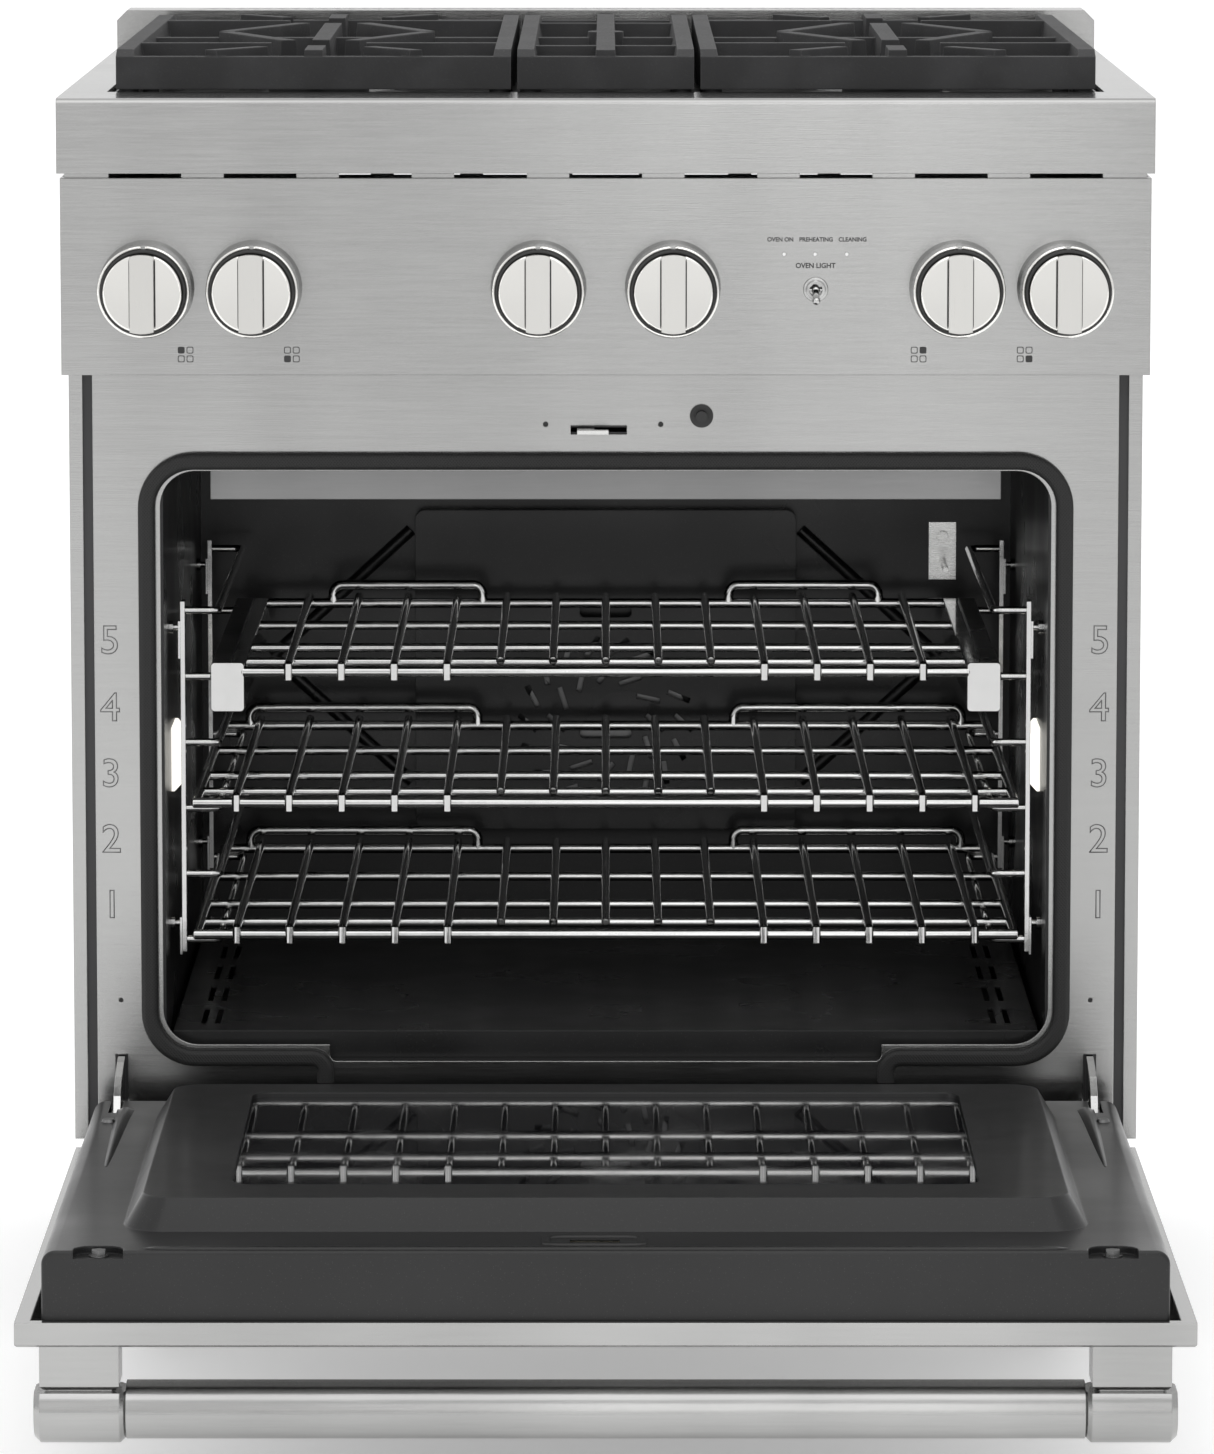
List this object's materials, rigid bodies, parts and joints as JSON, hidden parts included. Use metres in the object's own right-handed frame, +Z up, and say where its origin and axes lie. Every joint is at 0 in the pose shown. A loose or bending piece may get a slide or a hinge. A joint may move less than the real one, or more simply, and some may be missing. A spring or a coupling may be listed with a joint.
{
  "type": "freestanding gas range",
  "caption": "Freestanding 30 inch stainless gas range with four burners, convection oven and drop-down door, drawn with the door open.",
  "frame": {"origin": "on the floor, below the middle of the whole object with its door open", "axes": "+Z up, -Y towards the cook (the side the door opens to), +Y to the wall, +X to the cook's right"},
  "size_m": [0.76, 1.19, 0.941],
  "materials": {
    "stainless": "brushed",
    "dark_chassis": "satin black",
    "enamel": "dark speckled porcelain enamel",
    "liner_enamel": "dark speckled porcelain enamel",
    "cast_iron": "matte black enamelled cast iron",
    "chrome": "polished",
    "knob_metal": "polished metal",
    "bright_steel": "satin",
    "dark_glass": "dark reflective",
    "lamp_glass": "frosted",
    "wool": "mineral fibre blanket",
    "gasket": "dark woven silicone fibre",
    "burner_alloy": "cast",
    "cap_enamel": "matte black enamel",
    "black_plastic": "matte",
    "skirt_steel": "satin",
    "led": "unlit lens",
    "galvanised": "galvanised sheet"
  },
  "bodies": {
    "range_body": {"side_panels": "stainless", "rear_panel": "galvanised", "chassis_frame": "dark_chassis", "legs": "stainless", "leveling_feet": "bright_steel", "kick_panel": "stainless", "front_frame": "stainless", "oven_cavity": "enamel", "cavity_insulation": "wool", "door_gasket": "gasket", "oven_floor_panel": "enamel", "broil_skirt": "skirt_steel", "oven_burners": "bright_steel", "fan_baffle": "enamel", "fan_motor": "galvanised", "rack_ladders": "chrome", "rack_slide_rails": "enamel", "oven_lamps": "lamp_glass", "temperature_sensor": "bright_steel", "control_panel": "stainless", "island_trim": "stainless", "burner_tray": "enamel", "backguard": "stainless", "burner_bases": "burner_alloy", "burner_caps": "cap_enamel", "gas_manifold": "galvanised", "knob_bezels": "stainless", "oven_controls": "black_plastic", "toggle_switch": "chrome", "indicator_lights": "led", "door_switch_housing": "black_plastic", "hinge_arms": "chrome"},
    "door": {"door_skin": "stainless", "door_liner": "liner_enamel", "door_insulation": "wool", "door_inner_glass": "dark_glass", "door_outer_glass": "dark_glass", "door_hardware": "bright_steel", "handle_brackets": "stainless", "handle_bar": "stainless"},
    "rack_top_body": {"rack_top": "chrome"},
    "rack_middle_body": {"rack_middle": "chrome"},
    "rack_bottom_body": {"rack_bottom": "chrome"},
    "grate_left_body": {"grate_left": "cast_iron"},
    "grate_middle_body": {"grate_middle": "cast_iron"},
    "grate_right_body": {"grate_right": "cast_iron"},
    "fan": {"fan_blade": "bright_steel"},
    "toggle": {"toggle_lever": "chrome"},
    "latch": {"latch_hook": "bright_steel"},
    "door_plunger": {"door_switch_plunger": "black_plastic"},
    "oven_mode": {"knob_oven_mode": "knob_metal"},
    "oven_temp": {"knob_oven_temp": "knob_metal"},
    "stem_left_front_body": {"stem_left_front": "bright_steel"},
    "knob_left_front_body": {"knob_left_front": "knob_metal"},
    "stem_left_rear_body": {"stem_left_rear": "bright_steel"},
    "knob_left_rear_body": {"knob_left_rear": "knob_metal"},
    "stem_right_rear_body": {"stem_right_rear": "bright_steel"},
    "knob_right_rear_body": {"knob_right_rear": "knob_metal"},
    "stem_right_front_body": {"stem_right_front": "bright_steel"},
    "knob_right_front_body": {"knob_right_front": "knob_metal"}
  },
  "joints": [
    {"name": "door_swing", "type": "hinge", "parent": "range_body", "child": "door", "pos_m": [0, -0.067, 0.185], "axis": [-1, 0, 0], "range_deg": [0, 90]},
    {"name": "rack_top_slide", "type": "slide", "parent": "range_body", "child": "rack_top_body", "axis": [0, 1, 0], "range_m": [-0.35, 0]},
    {"name": "rack_middle_slide", "type": "slide", "parent": "range_body", "child": "rack_middle_body", "axis": [0, 1, 0], "range_m": [-0.35, 0]},
    {"name": "rack_bottom_slide", "type": "slide", "parent": "range_body", "child": "rack_bottom_body", "axis": [0, 1, 0], "range_m": [-0.35, 0]},
    {"name": "grate_left_lift", "type": "slide", "parent": "range_body", "child": "grate_left_body", "axis": [0, 0, 1], "range_m": [0, 0.06]},
    {"name": "grate_middle_lift", "type": "slide", "parent": "range_body", "child": "grate_middle_body", "axis": [0, 0, 1], "range_m": [0, 0.06]},
    {"name": "grate_right_lift", "type": "slide", "parent": "range_body", "child": "grate_right_body", "axis": [0, 0, 1], "range_m": [0, 0.06]},
    {"name": "fan_spin", "type": "hinge", "parent": "range_body", "child": "fan", "pos_m": [0, 0.443, 0.398], "axis": [0, 1, 0], "continuous": true},
    {"name": "toggle_throw", "type": "hinge", "parent": "range_body", "child": "toggle", "pos_m": [0.1458, -0.0997, 0.7778], "axis": [-1, 0, 0], "range_deg": [0, 52]},
    {"name": "latch_slide", "type": "slide", "parent": "range_body", "child": "latch", "axis": [1, 0, 0], "range_m": [0, 0.014]},
    {"name": "door_plunger_travel", "type": "slide", "parent": "range_body", "child": "door_plunger", "axis": [0, 1, 0], "range_m": [0, 0.006], "stiffness_N_per_m": 300, "springref_m": -0.003},
    {"name": "oven_mode_turn", "type": "hinge", "parent": "range_body", "child": "oven_mode", "pos_m": [-0.0466, -0.127, 0.779], "axis": [0, 1, 0], "range_deg": [0, 270]},
    {"name": "oven_temp_turn", "type": "hinge", "parent": "range_body", "child": "oven_temp", "pos_m": [0.0466, -0.127, 0.779], "axis": [0, 1, 0], "range_deg": [0, 270]},
    {"name": "knob_left_front_push", "type": "slide", "parent": "range_body", "child": "stem_left_front_body", "axis": [0, 1, 0], "range_m": [0, 0.004], "stiffness_N_per_m": 400, "springref_m": -0.003},
    {"name": "knob_left_front_turn", "type": "hinge", "parent": "stem_left_front_body", "child": "knob_left_front_body", "pos_m": [-0.3188, -0.127, 0.779], "axis": [0, 1, 0], "range_deg": [0, 230]},
    {"name": "knob_left_rear_push", "type": "slide", "parent": "range_body", "child": "stem_left_rear_body", "axis": [0, 1, 0], "range_m": [0, 0.004], "stiffness_N_per_m": 400, "springref_m": -0.003},
    {"name": "knob_left_rear_turn", "type": "hinge", "parent": "stem_left_rear_body", "child": "knob_left_rear_body", "pos_m": [-0.244, -0.127, 0.779], "axis": [0, 1, 0], "range_deg": [0, 230]},
    {"name": "knob_right_rear_push", "type": "slide", "parent": "range_body", "child": "stem_right_rear_body", "axis": [0, 1, 0], "range_m": [0, 0.004], "stiffness_N_per_m": 400, "springref_m": -0.003},
    {"name": "knob_right_rear_turn", "type": "hinge", "parent": "stem_right_rear_body", "child": "knob_right_rear_body", "pos_m": [0.244, -0.127, 0.779], "axis": [0, 1, 0], "range_deg": [0, 230]},
    {"name": "knob_right_front_push", "type": "slide", "parent": "range_body", "child": "stem_right_front_body", "axis": [0, 1, 0], "range_m": [0, 0.004], "stiffness_N_per_m": 400, "springref_m": -0.003},
    {"name": "knob_right_front_turn", "type": "hinge", "parent": "stem_right_front_body", "child": "knob_right_front_body", "pos_m": [0.3188, -0.127, 0.779], "axis": [0, 1, 0], "range_deg": [0, 230]}
  ]
}
